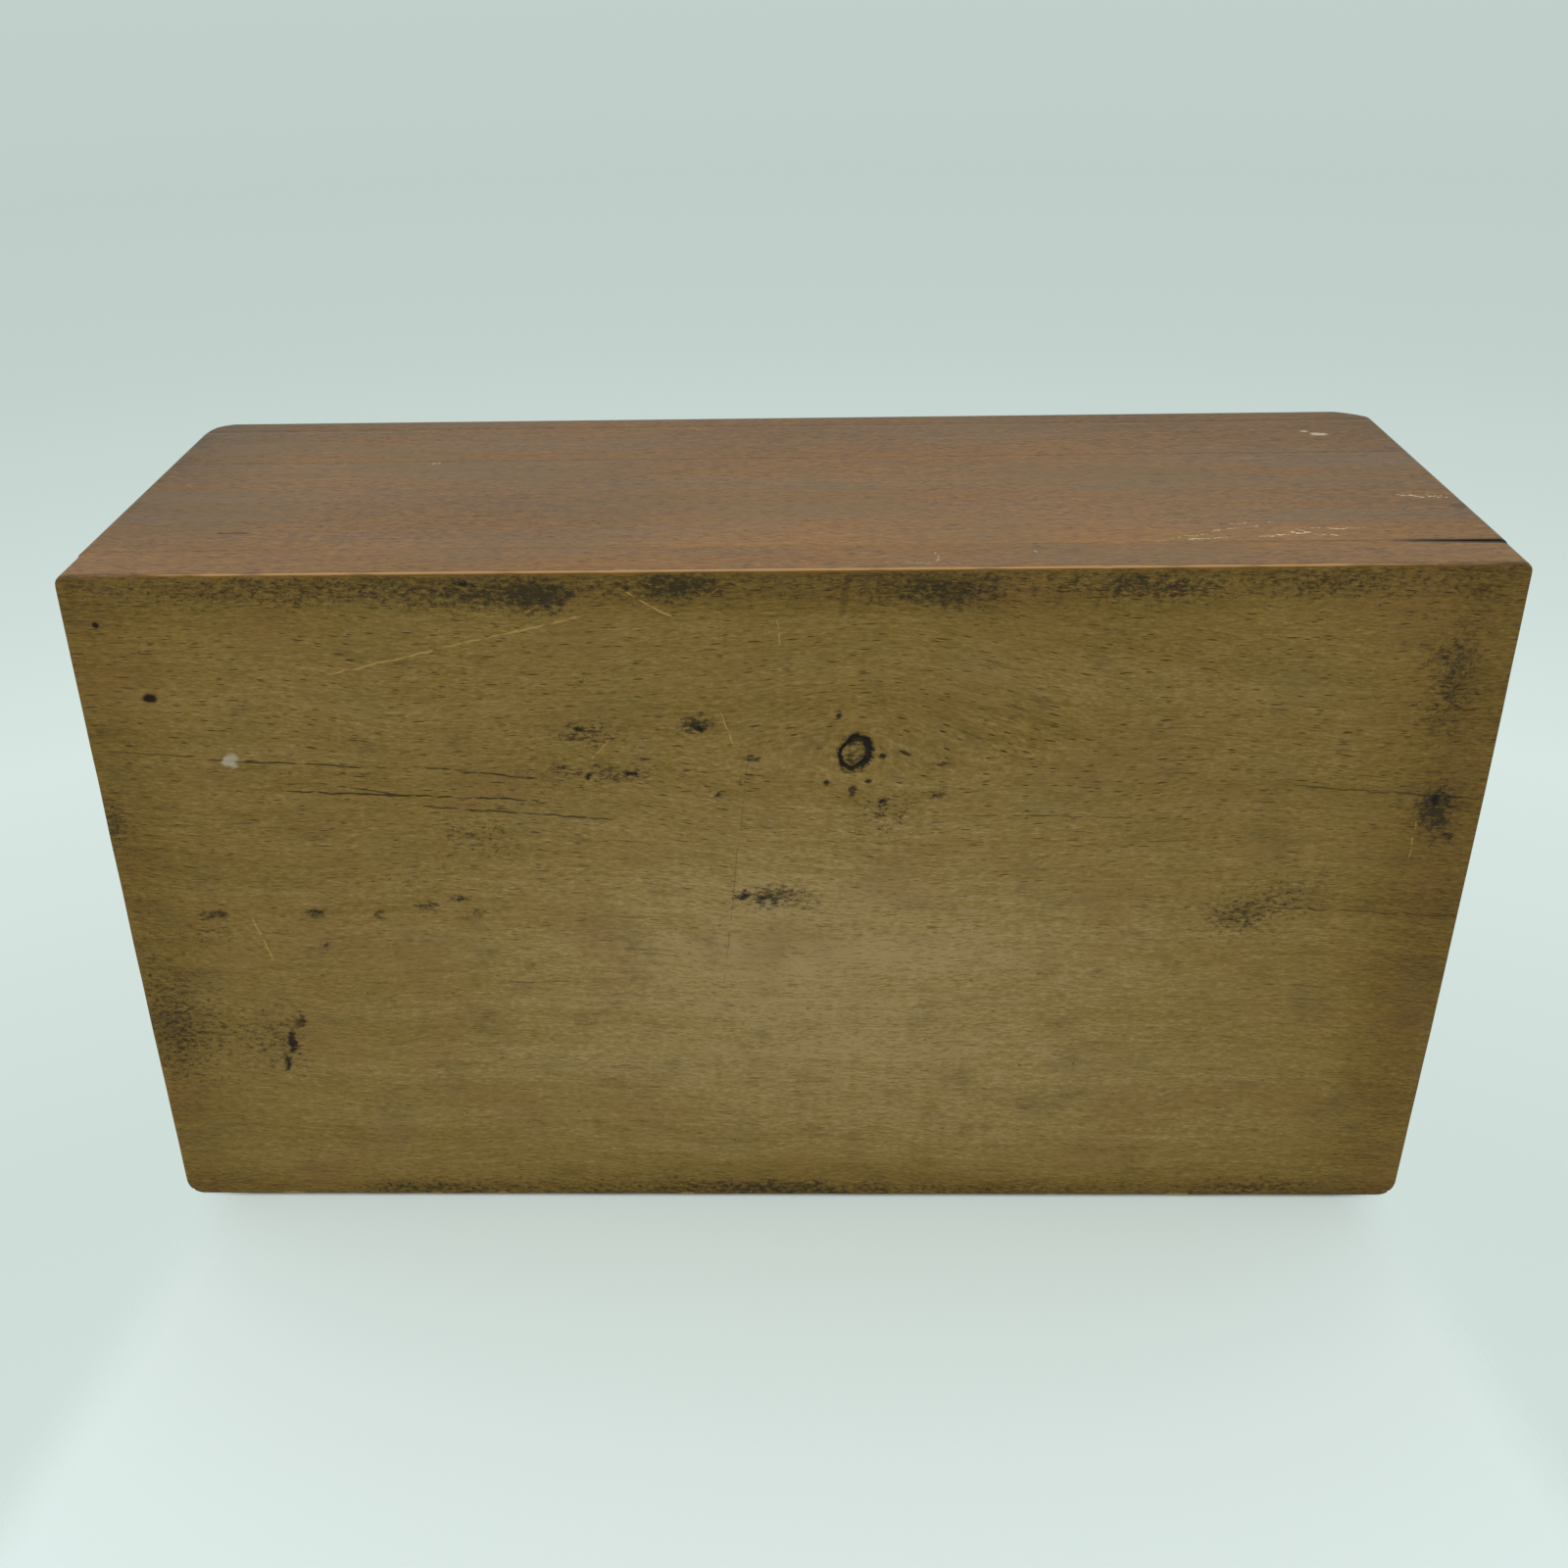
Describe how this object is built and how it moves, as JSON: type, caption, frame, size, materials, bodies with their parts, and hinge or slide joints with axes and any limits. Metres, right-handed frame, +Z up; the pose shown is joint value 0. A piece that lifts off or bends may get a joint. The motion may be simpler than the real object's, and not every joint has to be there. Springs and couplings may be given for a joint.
{
  "type": "wooden puzzle box",
  "caption": "Plain oblong hardwood box with a thick base and a deep lid that swings sideways on a hidden corner pivot, with a sliding top board over a lock pin.",
  "frame": {"origin": "under the middle of the base, on the surface that the box stands on", "axes": "+Z up through the lid, +X along the length towards the lock corner's end, +Y towards the back, which is the varnished side that the picture shows"},
  "size_m": [0.2, 0.11, 0.074],
  "materials": {
    "varnished_wood": "worn reddish brown satin varnish",
    "bare_wood": "bare, aged and stained",
    "inner_wood": "bare, planed",
    "dowel_wood": "turned, waxed",
    "brass": "dull brass"
  },
  "bodies": {
    "body": {"base_board": "bare_wood", "front_wall": "varnished_wood", "back_wall": "varnished_wood", "left_end_wall": "varnished_wood", "right_end_wall": "varnished_wood", "base_dowels": "dowel_wood", "corner_blocks": "inner_wood", "pivot_block": "inner_wood", "strike_block": "inner_wood", "pivot_dowel": "dowel_wood", "pivot_washer": "brass", "pivot_peg": "dowel_wood"},
    "lid": {"lid_front_rail": "varnished_wood", "lid_back_rail": "varnished_wood", "lid_left_rail": "varnished_wood", "lid_right_rail": "varnished_wood", "lid_underpanel": "inner_wood", "lid_deck": "inner_wood", "lid_pivot_block": "inner_wood", "lid_lock_block": "inner_wood", "lid_corner_blocks": "inner_wood", "panel_pins": "brass"},
    "top": {"top_board": "varnished_wood", "runner_front": "inner_wood", "runner_back": "inner_wood", "runner_screws": "brass"},
    "lock": {"lock_pin": "dowel_wood", "lock_pin_head": "dowel_wood"}
  },
  "joints": [
    {"name": "lid_swing", "type": "hinge", "parent": "body", "child": "lid", "pos_m": [-0.081, 0.036, 0.05], "axis": [0, 0, 1], "range_deg": [0, 90]},
    {"name": "top_slide", "type": "slide", "parent": "lid", "child": "top", "axis": [-1, 0, 0], "range_m": [0, 0.04]},
    {"name": "lock_throw", "type": "slide", "parent": "lid", "child": "lock", "axis": [0, 0, 1], "range_m": [-0.006, 0]}
  ]
}
